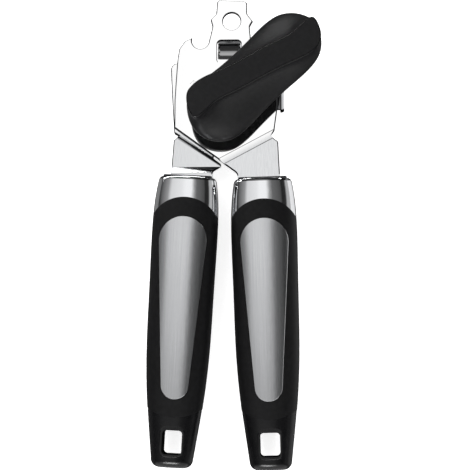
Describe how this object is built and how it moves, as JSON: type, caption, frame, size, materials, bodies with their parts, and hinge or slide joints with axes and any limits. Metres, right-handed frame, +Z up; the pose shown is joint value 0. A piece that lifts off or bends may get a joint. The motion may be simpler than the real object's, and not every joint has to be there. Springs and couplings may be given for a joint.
{
  "type": "manual can opener",
  "caption": "Hand-held can opener: two hinged levers with grip handles, a winged turning knob, geared feed and cutting wheels, hook notch and hanging holes.",
  "frame": {"origin": "centre of the bounding box, on its bottom plane, with the opener lying on its back", "axes": "+Y from the handle butts to the head, +Z up through the turning knob, +X to the right seen from the knob side"},
  "size_m": [0.0776, 0.2108, 0.043],
  "materials": {
    "polished_plate": "polished chromium plate on sheet steel",
    "bearing_steel": "turned steel",
    "cutter_steel": "hardened and ground steel",
    "ferrule_chrome": "bright chromium plate",
    "brushed_inlay": "lengthwise brushed stainless sheet",
    "soft_grip": "matte thermoplastic elastomer",
    "cap_plastic": "satin black nylon",
    "core_plastic": "glass-filled nylon",
    "washer_nylon": "natural nylon"
  },
  "bodies": {
    "front_lever": {"face_plate": "polished_plate", "rim_guide": "polished_plate", "pivot_rivet": "bearing_steel", "pivot_washer": "bearing_steel", "drive_bushing": "bearing_steel", "right_ferrule": "ferrule_chrome", "right_end_cap": "cap_plastic", "right_grip": "soft_grip", "right_inlay": "brushed_inlay", "right_core": "core_plastic", "right_tang_pins": "bearing_steel"},
    "rear_lever": {"rear_plate": "polished_plate", "cutter_stud": "bearing_steel", "cutter_washer": "bearing_steel", "left_ferrule": "ferrule_chrome", "left_end_cap": "cap_plastic", "left_grip": "soft_grip", "left_inlay": "brushed_inlay", "left_core": "core_plastic", "left_tang_pins": "bearing_steel"},
    "drive": {"drive_shaft": "bearing_steel", "drive_gear": "bearing_steel", "feed_wheel": "cutter_steel", "knob_washer": "washer_nylon", "knob_core": "core_plastic", "knob_grip": "soft_grip"},
    "cutter": {"cutter_gear": "bearing_steel", "cutter_wheel": "cutter_steel"}
  },
  "joints": [
    {"name": "handle_open", "type": "hinge", "parent": "front_lever", "child": "rear_lever", "pos_m": [-0.00472, 0.06947, 0.0111], "axis": [0, 0, -1], "range_deg": [0, 30]},
    {"name": "knob_spin", "type": "hinge", "parent": "front_lever", "child": "drive", "pos_m": [0.00928, 0.06603, 0.0111], "axis": [0, 0, 1], "continuous": true},
    {"name": "cutter_spin", "type": "hinge", "parent": "rear_lever", "child": "cutter", "pos_m": [-0.00251, 0.05522, 0.0111], "axis": [0, 0, 1], "continuous": true}
  ],
  "couplings": [
    {"joint": "cutter_spin", "follows": "knob_spin", "ratio": -1}
  ]
}
